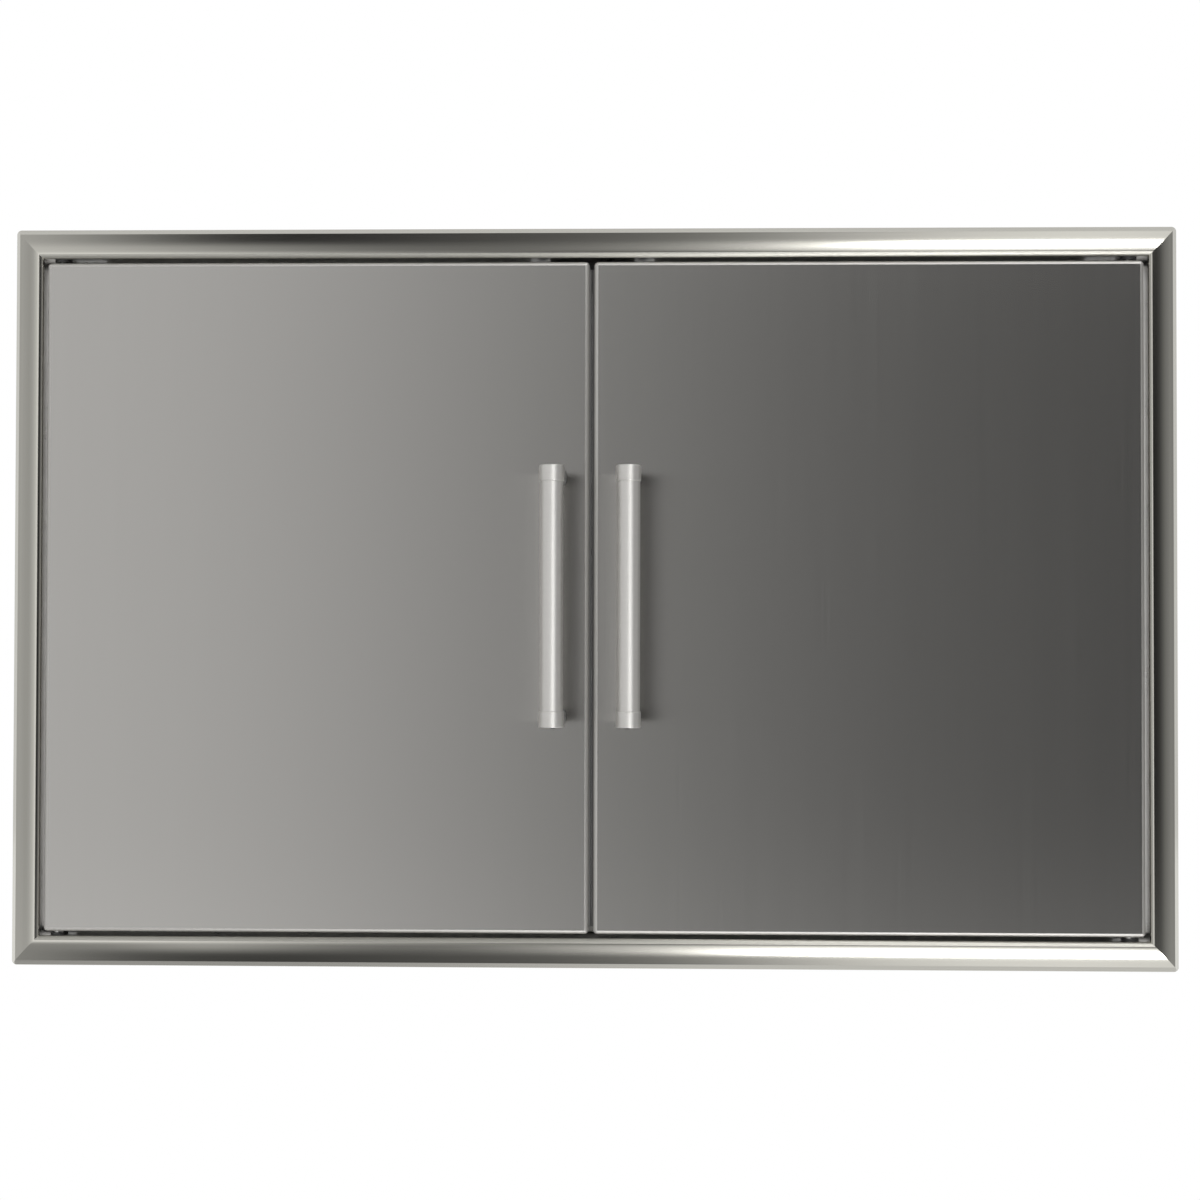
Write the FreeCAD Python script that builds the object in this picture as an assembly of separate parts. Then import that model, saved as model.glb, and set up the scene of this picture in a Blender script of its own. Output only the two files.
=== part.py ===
import FreeCAD, Part

import math
import os

from FreeCAD import Vector

# Double access door for an outdoor kitchen island: a mitred trim frame with two swing doors.
# Millimetres, +Z up, the front faces -Y. The origin is the centre of the island's cut-out, in the plane of
# the island's face. The left door is modelled, and the right one is its mirror image.

# Trim frame: overall size and the cut-out that it covers
overall_w = 838.0
overall_h = 533.0
outer_corner_r = 3.5
wall_overlap = 12.5  # how far the trim laps over the island's face, all round
install_clearance = 1.5  # between the frame's back and the cut-out's edge, all round

# Trim section, from the outer edge to the inner lip
frame_t = 1.2
trim_w = 23.0
trim_proud = 13.0
return_w = 9.0
band_w = 4.4  # the sloped band along the outer edge
edge_proud = 2.6  # how far the outer edge stands out before the band
face_deg = 30.0  # the face's slope beside the band, before it curves to the lip
fold_r = 2.0
edge_r = 1.6
crease_r = 0.4
crown_r = 24.0
lip_r = 3.0

# Jamb behind the trim, with the holes that fix it to the island
jamb_depth = 42.0
channel_lip = 8.0
fixing_hole_d = 5.5
fixing_depth = 27.0
fixing_spacing_w = 500.0
fixing_spacing_h = 320.0

# Doors
door_gap = 3.2
door_t = 19.0
door_edge_r = 3.0
skin_t = 1.2
liner_t = 1.0
liner_lip = 5.0
liner_r = 2.0
fit = 0.1  # slip clearance between pieces that are fixed together

# Seals along the doors' free edges, which close the gap between the doors
seal_gap = 0.3  # between the two seals
seal_setback = 5.0  # from the door's face to the seal's nose
seal_depth = 12.0
seal_end_gap = 2.0
seal_nose_r = 0.9

# Pivots: each axis is as far in from the door's outer edge as it is behind its face
pivot_inset = 9.0
pin_d = 6.0
pin_play = 0.05  # radial running clearance
pin_engage = 4.0  # pin length past the frame's sheet
pin_chamfer = 0.8
skin_hole_clearance = 1.0
bushing_flange_d = 12.0
bushing_flange_t = 1.6
bushing_barrel_d = 9.0
bushing_past = 5.5  # barrel length past the frame's sheet
washer_d = 9.0
thrust_play = 0.1

# Sprung upper pin and its bracket
bracket_t = 1.5
bracket_w = 14.8
bracket_edge = 5.8  # from the pivot axis to the bracket's outer side
bracket_behind = 4.5  # from the pivot axis to the end of its legs
collar_d = 10.0
collar_h = 5.0
spring_length = 22.0
spring_wire_d = 0.8
spring_coil_d = 8.6
spring_turns = 7
pin_tail = 2.5
stud_d = 3.5
stud_root = 2.0
stud_out = 10.0
knob_d = 8.0
knob_t = 5.0
knob_r = 1.0
slot_clearance = 0.5

# Lower hinge block
block_h = 18.0
pin_seat_floor = 2.0

# Handles
handle_inset = 25.0  # from the door's free edge
handle_standoff = 34.0  # door face to bar axis
post_spacing = 170.0
bar_d = 16.0
bar_wall = 1.5
ferrule_d = 17.4
ferrule_h = 11.0
ferrule_cap = 3.0
ferrule_chamfer = 0.6
neck_d = 12.0
foot_d = 18.0
foot_t = 4.0
foot_chamfer = 1.6
stiffener_w = 36.0
stiffener_t = 1.2
stiffener_end_gap = 12.0
stiffener_r = 2.2
handle_screw_d = 5.0
handle_screw_grip = 9.0
handle_screw_head_d = 9.5
handle_screw_head_h = 3.0

# Stops behind the doors
stop_t = 1.5
stop_h = 15.0
stop_leg = 14.0
upper_stop_side_gap = 36.0  # room for the thumb stud's swing
lower_stop_side_gap = 17.0
bumper_d = 9.0
bumper_t = 1.7
bumper_gap = 0.3
bumper_spacing = 120.0

# Double magnetic catch at the top, in the middle
catch_w = 62.0
catch_h = 19.0
catch_depth = 14.0
catch_ear_w = 11.0
catch_ear_t = 3.0
catch_end_gap = 3.0
catch_drop = 11.5  # jamb to the magnets' middle
catch_proud = 0.8
magnet_spacing = 34.0
magnet_w = 24.0
magnet_h = 8.0
pole_t = 1.5
pole_depth = 11.0
pole_lead = 1.0  # how far the pole plates stand ahead of the magnet
catch_gap = 0.3
catch_screw_d = 3.9
catch_screw_head_d = 7.0
catch_screw_head_h = 2.4
catch_screw_past = 3.0
catch_hole_clearance = 0.4

# Strike plates on the doors
strike_w = 26.0
strike_h = 12.0
strike_t = 1.2
rivet_spacing = 18.0
rivet_d = 3.0
rivet_head_d = 5.0
rivet_grip = 2.5

# Screw heads and their cross recess
head_edge_share = 0.33  # of the head's height, chamfered
recess_w = 0.9
recess_share = 0.6  # of the head's diameter
recess_depth_share = 0.5  # of the head's height

# Worked out from the sizes above
opening_w = overall_w - 2 * trim_w
opening_h = overall_h - 2 * trim_w
channel_w = trim_w - wall_overlap - install_clearance
door_h = opening_h - 2 * door_gap
front_y = -trim_proud
back_y = front_y + door_t
skin_inner_y = front_y + skin_t
liner_inner_y = back_y - liner_t
door_outer_x = -opening_w / 2 + door_gap
door_free_x = -door_gap / 2
pivot_x = door_outer_x + pivot_inset
pivot_y = front_y + pivot_inset
skin_top_z = door_h / 2 - skin_t
pin_reach = opening_h / 2 + frame_t + pin_engage
pin_travel = pin_reach - door_h / 2
collar_top_z = skin_top_z - bracket_t
stud_z = collar_top_z - collar_h / 2
spring_top_z = collar_top_z - collar_h
spring_bottom_z = spring_top_z - spring_length
handle_x = door_free_x - handle_inset
bar_y = front_y - handle_standoff
stiffener_face_y = skin_inner_y + stiffener_t
catch_face_y = back_y + strike_t + catch_gap + catch_proud
catch_middle_y = catch_face_y + catch_depth / 2
catch_ear_x = (catch_w + catch_ear_w) / 2
catch_half_w = catch_w / 2 + catch_ear_w
strike_z = opening_h / 2 - catch_drop
stop_y = back_y + bumper_gap + bumper_t
upper_stop_end_x = opening_w / 2 - door_gap - upper_stop_side_gap
lower_stop_end_x = opening_w / 2 - door_gap - lower_stop_side_gap

X = Vector(1, 0, 0)
Y = Vector(0, 1, 0)
Z = Vector(0, 0, 1)
NOTHING = 1e-6
SLIGHT = 1e-4  # shorter lines and tighter bends than this aren't drawn
PAST = 1.0  # how far a cutter runs past what it cuts


# Basic shapes

def block(x0, x1, y0, y1, z0, z1):
    """A box between two corners."""
    return Part.makeBox(x1 - x0, y1 - y0, z1 - z0, Vector(x0, y0, z0))


def rod(diameter, start, direction, length):
    """A cylinder from a point along a direction."""
    return Part.makeCylinder(diameter / 2, length, start, direction)


def drill(diameter, start, direction, length):
    """A cutter for a round hole, which runs a little past both its ends."""
    return rod(diameter, start - direction * PAST, direction, length + 2 * PAST)


def rim(shape, point, axis):
    """The round edges centred in the plane through a point, square to an axis."""
    return [e for e in shape.Edges if e.Closed and abs((e.Curve.Center - point).dot(axis)) < NOTHING]


def about_y(shape, degrees):
    """A copy turned about the Y axis through the origin."""
    turned = shape.copy()
    turned.rotate(Vector(0, 0, 0), Y, degrees)
    return turned


def upside_down(shape):
    """The mirror image in the horizontal mid plane."""
    return shape.mirror(Vector(0, 0, 0), Z)


def opposite_hand(shape):
    """The mirror image in the vertical mid plane."""
    return shape.mirror(Vector(0, 0, 0), X)


# Folded sheet: a path of straight walls with a bend at each corner, thickened to its left

def heading(a, b):
    """Unit direction from a to b in the section's plane."""
    length = math.dist(a, b)
    return (b[0] - a[0]) / length, (b[1] - a[1]) / length


def turn(points, i):
    """Signed turn of the path at point i, positive to the left."""
    before = heading(points[i - 1], points[i])
    after = heading(points[i], points[i + 1])
    cross = before[0] * after[1] - before[1] * after[0]
    dot = before[0] * after[0] + before[1] * after[1]
    return math.atan2(cross, dot)


def fitted(points, radii):
    """The bend radii, each no larger than the two walls that it joins have room for."""
    reach = [0.0]
    for i, radius in enumerate(radii, start=1):
        reach.append(radius * math.tan(abs(turn(points, i)) / 2))
    reach.append(0.0)
    kept = []
    for i, radius in enumerate(radii, start=1):
        share = 1.0
        for k in (i, i + 1):
            used = reach[k - 1] + reach[k]
            if used > NOTHING:
                share = min(share, math.dist(points[k - 1], points[k]) / used)
        kept.append(radius * share)
    return kept


def offset_path(points, radii, thickness):
    """The path moved to its left by the sheet's thickness, with the bend radii that go with it."""
    walls = []
    for a, b in zip(points, points[1:]):
        along = heading(a, b)
        shift = (-along[1] * thickness, along[0] * thickness)
        walls.append(((a[0] + shift[0], a[1] + shift[1]), (b[0] + shift[0], b[1] + shift[1]), along))
    moved = [walls[0][0]]
    moved_radii = []
    for i, radius in enumerate(radii, start=1):
        bend = turn(points, i)
        _, end, along = walls[i - 1]
        back = thickness * math.tan(bend / 2)
        moved.append((end[0] - along[0] * back, end[1] - along[1] * back))
        moved_radii.append(max(radius - math.copysign(thickness, bend), 0.0))
    moved.append(walls[-1][1])
    return moved, moved_radii


def path_edges(points, radii, at):
    """Lines and arcs along a path of walls and bends. at(u, v) gives a section point's place in space."""
    edges = []
    here = points[0]
    for i, radius in enumerate(radii, start=1):
        corner = points[i]
        bend = turn(points, i)
        before = heading(points[i - 1], corner)
        after = heading(corner, points[i + 1])
        reach = radius * math.tan(abs(bend) / 2)
        start = (corner[0] - before[0] * reach, corner[1] - before[1] * reach)
        end = (corner[0] + after[0] * reach, corner[1] + after[1] * reach)
        if math.dist(here, start) > SLIGHT:
            edges.append(Part.LineSegment(at(*here), at(*start)).toShape())
        if radius > SLIGHT:
            inward = heading(before, after)
            sagitta = radius / math.cos(bend / 2) - radius
            middle = (corner[0] + inward[0] * sagitta, corner[1] + inward[1] * sagitta)
            edges.append(Part.Arc(at(*start), at(*middle), at(*end)).toShape())
        here = end
    edges.append(Part.LineSegment(at(*here), at(*points[-1])).toShape())
    return edges


def sheet_face(points, radii, thickness, at):
    """The section of a folded sheet. The path is one side of the sheet, which lies to the path's left."""
    radii = fitted(points, radii)
    inside, inside_radii = offset_path(points, radii, thickness)
    inside_radii = fitted(inside, inside_radii)
    edges = path_edges(points, radii, at) + path_edges(inside, inside_radii, at)
    edges.append(Part.LineSegment(at(*points[0]), at(*inside[0])).toShape())
    edges.append(Part.LineSegment(at(*points[-1]), at(*inside[-1])).toShape())
    return Part.Face(Part.Wire(Part.__sortEdges__(edges)))


def channel(low, high, web, ends, thickness, radius, at):
    """Section of a U channel: its web lies from low to high, and its legs run back from it to their ends."""
    path = [(low, ends), (low, web), (high, web), (high, ends)]
    return sheet_face(path, [radius, radius], thickness, at)


def tray(x0, x1, z0, z1, face_y, depth, radius, thickness):
    """A pan with a flat face in the XZ plane and four walls that run depth back from it, folds rounded."""
    open_y = face_y + depth
    outer = block(x0, x1, min(face_y, open_y), max(face_y, open_y), z0, z1)
    outer = outer.makeFillet(radius, edges_off_plane(outer, open_y))
    inner_face_y = face_y + math.copysign(thickness, depth)
    past_y = open_y + math.copysign(thickness, depth)
    hollow = block(x0 + thickness, x1 - thickness, min(inner_face_y, past_y), max(inner_face_y, past_y),
                   z0 + thickness, z1 - thickness)
    if radius > thickness:
        hollow = hollow.makeFillet(radius - thickness, edges_off_plane(hollow, past_y))
    return outer.cut(hollow)


def edges_off_plane(shape, plane_y):
    """The edges that don't lie in the plane at one depth."""
    return [e for e in shape.Edges if max(abs(v.Y - plane_y) for v in e.Vertexes) > NOTHING]


# Screws

def pan_screw(start, direction, shank_d, length, head_d, head_h):
    """A cross-recessed screw, its head's seat at start, its shank along direction, which is square to X."""
    shank = rod(shank_d, start, direction, length)
    head = rod(head_d, start, -direction, head_h)
    top = start - direction * head_h
    head = head.makeChamfer(head_h * head_edge_share, rim(head, top, direction))
    arm = head_d * recess_share
    recess = None
    for across in (X, direction.cross(X)):
        other = direction.cross(across)
        corner = top - across * (arm / 2) - other * (recess_w / 2)
        bar = Part.makePolygon([corner, corner + across * arm, corner + across * arm + other * recess_w,
                                corner + other * recess_w, corner])
        bar = Part.Face(bar).extrude(direction * (head_h * recess_depth_share))
        recess = bar if recess is None else recess.fuse(bar)
    return shank.fuse(head).removeSplitter().cut(recess)


# Trim frame

def trim_path():
    """The visible side of the trim's sheet, as (distance in from the outer edge, depth), and its radii."""
    slope = math.radians(face_deg)
    crown_u = trim_w - lip_r - crown_r * math.tan(slope / 2)
    band_v = (crown_u - band_w) * math.tan(slope) - trim_proud
    points = [
        (return_w, 0.0),
        (0.0, 0.0),
        (0.0, -edge_proud),
        (band_w, band_v),
        (crown_u, -trim_proud),
        (trim_w, -trim_proud),
        (trim_w, jamb_depth),
        (trim_w - channel_w, jamb_depth),
        (trim_w - channel_w, jamb_depth - channel_lip),
    ]
    return points, [fold_r, edge_r, crease_r, crown_r, lip_r, fold_r, fold_r]


def mitre_wedge(length, edge):
    """What a bottom rail keeps between its two 45 degree mitres."""
    reach = trim_w + frame_t
    corners = [(-length / 2, -edge), (length / 2, -edge),
               (length / 2 - reach, reach - edge), (reach - length / 2, reach - edge)]
    start_y = -trim_proud - frame_t
    wire = Part.makePolygon([Vector(x, start_y, z) for x, z in corners + corners[:1]])
    return Part.Face(wire).extrude(Y * (jamb_depth - start_y + frame_t))


def frame_outline():
    """The frame's overall block with its four outer corners rounded."""
    start_y = -trim_proud - frame_t
    body = block(-overall_w / 2, overall_w / 2, start_y, jamb_depth + frame_t, -overall_h / 2, overall_h / 2)
    corners = [e for e in body.Edges if e.tangentAt(e.FirstParameter).cross(Y).Length < NOTHING]
    return body.makeFillet(outer_corner_r, corners)


def rail(length, edge, hole_spacing):
    """A trim rail as it lies at the bottom of the frame, with two fixing holes in its jamb."""
    points, radii = trim_path()
    section = sheet_face(points, radii, frame_t, lambda u, v: Vector(-length / 2, v, u - edge))
    bar = section.extrude(X * length).common(mitre_wedge(length, edge))
    for side in (-1, 1):
        start = Vector(side * hole_spacing / 2, fixing_depth, trim_w - edge - frame_t)
        bar = bar.cut(drill(fixing_hole_d, start, Z, frame_t))
    return bar


def bushing_hole(side, end):
    """Cutter for a bushing's hole in the top (end 1) or bottom (end -1) rail."""
    start = Vector(side * pivot_x, pivot_y, end * opening_h / 2)
    return drill(bushing_barrel_d + 2 * pin_play, start, Z * end, frame_t)


def catch_screw_hole(side):
    """Cutter for a catch screw's hole in the top rail."""
    start = Vector(side * catch_ear_x, catch_middle_y, opening_h / 2)
    return drill(catch_screw_d + fit, start, Z, frame_t)


def trim_rails():
    """The four mitred rails of the trim frame."""
    outline = frame_outline()
    bottom = rail(overall_w, overall_h / 2, fixing_spacing_w)
    upright = rail(overall_h, overall_w / 2, fixing_spacing_h)
    top = about_y(bottom, 180)
    for side in (-1, 1):
        bottom = bottom.cut(bushing_hole(side, -1))
        top = top.cut(bushing_hole(side, 1)).cut(catch_screw_hole(side))
    rails = {
        "trim_bottom_rail": bottom,
        "trim_top_rail": top,
        "trim_left_stile": about_y(upright, 90),
        "trim_right_stile": about_y(upright, -90),
    }
    return {name: shape.common(outline) for name, shape in rails.items()}


def bushing(side, end):
    """A flanged pivot bushing in the top (end 1) or bottom (end -1) rail."""
    seat = Vector(side * pivot_x, pivot_y, end * opening_h / 2)
    flange = rod(bushing_flange_d, seat, Z * -end, bushing_flange_t)
    barrel = rod(bushing_barrel_d, seat, Z * end, frame_t + bushing_past)
    bore = drill(pin_d + 2 * pin_play, seat - Z * (end * bushing_flange_t), Z * end,
                 bushing_flange_t + frame_t + bushing_past)
    return flange.fuse(barrel).removeSplitter().cut(bore)


def stop_strip(x0, x1, end):
    """An angle fixed to the top (end 1) or bottom (end -1) jamb, which the doors close against."""
    path = [(0.0, stop_y + stop_leg), (0.0, stop_y), (stop_h, stop_y)]
    section = sheet_face(path, [fold_r], stop_t, lambda u, v: Vector(x0, v, end * (opening_h / 2 - u)))
    return section.extrude(X * (x1 - x0))


def stops():
    """The upper stop in two lengths with the catch between them, and the lower stop."""
    start = catch_half_w + catch_end_gap
    return {
        "upper_stop_left": stop_strip(-upper_stop_end_x, -start, 1),
        "upper_stop_right": stop_strip(start, upper_stop_end_x, 1),
        "lower_stop": stop_strip(-lower_stop_end_x, lower_stop_end_x, -1),
    }


def bumpers():
    """Rubber pads on the stops, two at the top and two at the bottom."""
    height = opening_h / 2 - (stop_h + fold_r) / 2
    return [rod(bumper_d, Vector(side * bumper_spacing / 2, stop_y, end * height), -Y, bumper_t)
            for side in (-1, 1) for end in (-1, 1)]


# Magnetic catch

def catch_stack(side, clearance):
    """The block that one magnet and its two pole plates fill, with clearance round it."""
    middle = side * magnet_spacing / 2
    half_h = magnet_h / 2 + pole_t + clearance
    return block(middle - magnet_w / 2 - clearance, middle + magnet_w / 2 + clearance,
                 catch_face_y - catch_proud, catch_face_y - catch_proud + pole_depth + clearance,
                 strike_z - half_h, strike_z + half_h)


def catch_housing():
    """The plastic body with two pockets that open to the front, and an ear at each end."""
    top = opening_h / 2
    back = catch_face_y + catch_depth
    body = block(-catch_w / 2, catch_w / 2, catch_face_y, back, top - catch_h, top)
    ears = block(-catch_half_w, catch_half_w, catch_face_y, back, top - catch_ear_t, top)
    body = body.fuse(ears).removeSplitter()
    for side in (-1, 1):
        start = Vector(side * catch_ear_x, catch_middle_y, top - catch_ear_t)
        screw_hole = drill(catch_screw_d + catch_hole_clearance, start, Z, catch_ear_t)
        body = body.cut(catch_stack(side, fit)).cut(screw_hole)
    return body


def catch_magnets():
    """The two magnets, set back between their pole plates."""
    magnets = []
    for side in (-1, 1):
        middle = side * magnet_spacing / 2
        magnets.append(block(middle - magnet_w / 2, middle + magnet_w / 2,
                             catch_face_y - catch_proud + pole_lead, catch_face_y - catch_proud + pole_depth,
                             strike_z - magnet_h / 2, strike_z + magnet_h / 2))
    return magnets


def catch_pole_plates():
    """The steel plates above and below each magnet."""
    plates = []
    for side in (-1, 1):
        for z in (strike_z - magnet_h / 2 - pole_t, strike_z + magnet_h / 2):
            middle = side * magnet_spacing / 2
            plates.append(block(middle - magnet_w / 2, middle + magnet_w / 2,
                                catch_face_y - catch_proud, catch_face_y - catch_proud + pole_depth,
                                z, z + pole_t))
    return plates


def catch_screws():
    """The screws that hold the catch up to the top jamb."""
    length = catch_ear_t + frame_t + catch_screw_past
    return [pan_screw(Vector(side * catch_ear_x, catch_middle_y, opening_h / 2 - catch_ear_t), Z,
                      catch_screw_d, length, catch_screw_head_d, catch_screw_head_h)
            for side in (-1, 1)]


# Door panel, all for the left door

def door_skin():
    """The outer pan, with holes for the two pins and the two handle screws."""
    skin = tray(door_outer_x, door_free_x, -door_h / 2, door_h / 2, front_y, door_t, door_edge_r, skin_t)
    skin = skin.cut(drill(pin_d + skin_hole_clearance, Vector(pivot_x, pivot_y, -door_h / 2), Z, door_h))
    for end in (-1, 1):
        start = Vector(handle_x, front_y, end * post_spacing / 2)
        skin = skin.cut(drill(handle_screw_d + 2 * fit, start, Y, skin_t))
    return skin


def door_liner():
    """The inner pan that closes the back, with a slot for the thumb stud and the rivets' holes."""
    edge = skin_t + fit
    liner = tray(door_outer_x + edge, door_free_x - edge, edge - door_h / 2, door_h / 2 - edge,
                 back_y, -liner_lip, liner_r, liner_t)
    half_w = stud_d / 2 + slot_clearance
    slot = block(pivot_x - half_w, pivot_x + half_w, liner_inner_y - PAST, back_y + PAST,
                 stud_z - pin_travel, stud_z)
    for z in (stud_z - pin_travel, stud_z):
        slot = slot.fuse(drill(2 * half_w, Vector(pivot_x, liner_inner_y, z), Y, liner_t))
    liner = liner.cut(slot)
    for centre in rivet_places():
        liner = liner.cut(drill(rivet_d + fit, centre - Y * liner_t, Y, liner_t))
    return liner


def meeting_seal():
    """The strip with a rounded nose along the free edge's flat, which closes the gap between the doors."""
    nose_y = front_y + seal_setback
    tip_x = -seal_gap / 2
    half = door_h / 2 - door_edge_r - seal_end_gap
    strip = block(door_free_x, tip_x, nose_y, nose_y + seal_depth, -half, half)
    nose = [e for e in strip.Edges if all(abs(v.X - tip_x) < NOTHING and abs(v.Y - nose_y) < NOTHING
                                          for v in e.Vertexes)]
    return strip.makeFillet(seal_nose_r, nose)


def handle_stiffener():
    """The channel between skin and liner that the handle is screwed through."""
    low_z = stiffener_end_gap - skin_top_z
    section = channel(handle_x - stiffener_w / 2, handle_x + stiffener_w / 2, skin_inner_y, liner_inner_y,
                      stiffener_t, stiffener_r, lambda u, v: Vector(u, v, low_z))
    body = section.extrude(Z * (-2 * low_z))
    for end in (-1, 1):
        start = Vector(handle_x, skin_inner_y, end * post_spacing / 2)
        body = body.cut(drill(handle_screw_d + 2 * fit, start, Y, stiffener_t))
    return body


def rivet_places():
    """Where the strike plate's rivets pass through the liner's back face."""
    middle = -magnet_spacing / 2
    return [Vector(middle + side * rivet_spacing / 2, back_y, strike_z) for side in (-1, 1)]


def rivet_body(centre, clearance):
    """A countersunk rivet with its head flush with the strike plate, made larger all round by a clearance."""
    head_r = rivet_head_d / 2 + clearance
    shank_r = rivet_d / 2 + clearance
    head = Part.makeCone(head_r, shank_r, strike_t, centre + Y * strike_t, -Y)
    shank = Part.makeCylinder(shank_r, liner_t + rivet_grip, centre, -Y)
    return head.fuse(shank).removeSplitter()


def strike_plate():
    """The steel plate that the magnet pulls, countersunk for its rivets."""
    middle = -magnet_spacing / 2
    plate = block(middle - strike_w / 2, middle + strike_w / 2, back_y, back_y + strike_t,
                  strike_z - strike_h / 2, strike_z + strike_h / 2)
    for centre in rivet_places():
        plate = plate.cut(rivet_body(centre, fit / 2))
    return plate


# Pivots, all for the left door

def upper_hinge_bracket():
    """The U bracket behind the skin that guides the sprung pin through both its legs."""
    x0 = pivot_x - bracket_edge
    low_z = spring_bottom_z - bracket_t
    section = channel(low_z, skin_top_z, skin_inner_y, pivot_y + bracket_behind,
                      bracket_t, stiffener_r, lambda u, v: Vector(x0, v, u))
    bore = drill(pin_d + 2 * pin_play, Vector(pivot_x, pivot_y, low_z), Z, skin_top_z - low_z)
    return section.extrude(X * bracket_w).cut(bore)


def upper_pivot_pin():
    """The sprung pin with its collar, which rests against the bracket's upper leg."""
    low_z = spring_bottom_z - bracket_t - pin_tail
    pin = rod(pin_d, Vector(pivot_x, pivot_y, low_z), Z, pin_reach - low_z)
    pin = pin.makeChamfer(pin_chamfer, rim(pin, Z * pin_reach, Z))
    pin = pin.fuse(rod(collar_d, Vector(pivot_x, pivot_y, spring_top_z), Z, collar_h)).removeSplitter()
    return pin.cut(rod(stud_d + fit, Vector(pivot_x, pivot_y + stud_root - fit, stud_z), Y, collar_d))


def pin_thumb_stud():
    """The stud that is screwed into the collar and reaches out through the liner's slot."""
    start = Vector(pivot_x, pivot_y + stud_root, stud_z)
    end_y = back_y + stud_out
    shank = rod(stud_d, start, Y, end_y - start.y)
    knob = rod(knob_d, Vector(pivot_x, end_y - knob_t, stud_z), Y, knob_t)
    knob = knob.makeFillet(knob_r, [e for e in knob.Edges if e.Closed and e.Length > NOTHING])
    return shank.fuse(knob).removeSplitter()


def pin_spring(side):
    """The spring between the pin's collar and the bracket's lower leg, in half turns that rise evenly."""
    wire_r = spring_wire_d / 2
    seat = wire_r + fit / 2
    half_rise = (spring_length - 2 * seat) / (2 * spring_turns)
    coil_r = spring_coil_d / 2
    base = Vector(side * pivot_x, pivot_y, spring_bottom_z + seat)
    bulge = math.hypot(coil_r, half_rise / 2)
    turns = []
    for i in range(2 * spring_turns):
        hand = 1 if i % 2 == 0 else -1
        low = base + X * (hand * coil_r) + Z * (i * half_rise)
        high = base - X * (hand * coil_r) + Z * ((i + 1) * half_rise)
        middle = base + Y * (hand * bulge) + Z * ((i + 0.5) * half_rise)
        turns.append(Part.Arc(low, middle, high).toShape())
    circle = Part.Wire(Part.makeCircle(wire_r, base + X * coil_r, Y))
    return Part.Wire(turns).makePipeShell([circle], True, False)


def lower_hinge_block():
    """The block inside the bottom corner that carries the fixed pin."""
    low_z = -skin_top_z
    body = block(pivot_x - bracket_edge, pivot_x - bracket_edge + bracket_w, skin_inner_y,
                 pivot_y + bracket_behind, low_z, low_z + block_h)
    corner = [e for e in body.Edges if all(abs(v.Y - skin_inner_y) < NOTHING and abs(v.Z - low_z) < NOTHING
                                           for v in e.Vertexes)]
    body = body.makeChamfer(door_edge_r - skin_t, corner)
    depth = block_h - pin_seat_floor
    return body.cut(rod(pin_d + 2 * pin_play, Vector(pivot_x, pivot_y, low_z - PAST), Z, depth + PAST))


def lower_pivot_pin():
    """The fixed pin in the lower hinge block."""
    low_z = -pin_reach
    top_z = block_h - pin_seat_floor - skin_top_z
    pin = rod(pin_d, Vector(pivot_x, pivot_y, low_z), Z, top_z - low_z)
    return pin.makeChamfer(pin_chamfer, rim(pin, Z * low_z, Z))


def thrust_washer():
    """The washer under the door that turns on the lower bushing's flange."""
    thickness = door_gap - bushing_flange_t - thrust_play
    start = Vector(pivot_x, pivot_y, -door_h / 2)
    ring = rod(washer_d, start, -Z, thickness)
    return ring.cut(drill(pin_d + 2 * pin_play, start, -Z, thickness))


# Handle, all for the left door

def handle_bar():
    """The tube between the two end posts."""
    half = post_spacing / 2 + ferrule_h / 2 - ferrule_cap
    start = Vector(handle_x, bar_y, -half)
    return rod(bar_d, start, Z, 2 * half).cut(drill(bar_d - 2 * bar_wall, start, Z, 2 * half))


def handle_post():
    """The upper post: a ferrule over the bar's end, a neck and a flared foot, tapped for its screw."""
    middle = post_spacing / 2
    low_z = middle - ferrule_h / 2
    ferrule = rod(ferrule_d, Vector(handle_x, bar_y, low_z), Z, ferrule_h)
    ferrule = ferrule.makeChamfer(ferrule_chamfer, [e for e in ferrule.Edges if e.Closed])
    neck = rod(neck_d, Vector(handle_x, bar_y, middle), Y, handle_standoff - foot_t / 2)
    foot = rod(foot_d, Vector(handle_x, front_y - foot_t, middle), Y, foot_t)
    foot = foot.makeChamfer(foot_chamfer, rim(foot, Y * (front_y - foot_t), Y))
    post = ferrule.fuse([neck, foot]).removeSplitter()
    socket = rod(bar_d + fit, Vector(handle_x, bar_y, low_z - PAST), Z, ferrule_h - ferrule_cap + PAST)
    tapping = rod(handle_screw_d + fit, Vector(handle_x, front_y + PAST, middle), -Y,
                  handle_screw_grip + fit + PAST)
    return post.cut(socket).cut(tapping)


def handle_screws():
    """The screws from inside the stiffener into the two posts."""
    length = stiffener_t + skin_t + handle_screw_grip
    return [pan_screw(Vector(handle_x, stiffener_face_y, end * post_spacing / 2), -Y, handle_screw_d,
                      length, handle_screw_head_d, handle_screw_head_h)
            for end in (-1, 1)]


# The whole door

def left_door():
    """Every piece of the left door but its spring, by name."""
    upper_post = handle_post()
    return {
        "door_skin": [door_skin()],
        "door_liner": [door_liner()],
        "meeting_seal": [meeting_seal()],
        "handle_stiffener": [handle_stiffener()],
        "upper_hinge_bracket": [upper_hinge_bracket()],
        "upper_pivot_pin": [upper_pivot_pin()],
        "pin_thumb_stud": [pin_thumb_stud()],
        "lower_hinge_block": [lower_hinge_block()],
        "lower_pivot_pin": [lower_pivot_pin()],
        "thrust_washer": [thrust_washer()],
        "handle_bar": [handle_bar()],
        "handle_upper_post": [upper_post],
        "handle_lower_post": [upside_down(upper_post)],
        "handle_screws": handle_screws(),
        "strike_plate": [strike_plate()],
        "strike_rivets": [rivet_body(centre, 0.0) for centre in rivet_places()],
    }


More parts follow.
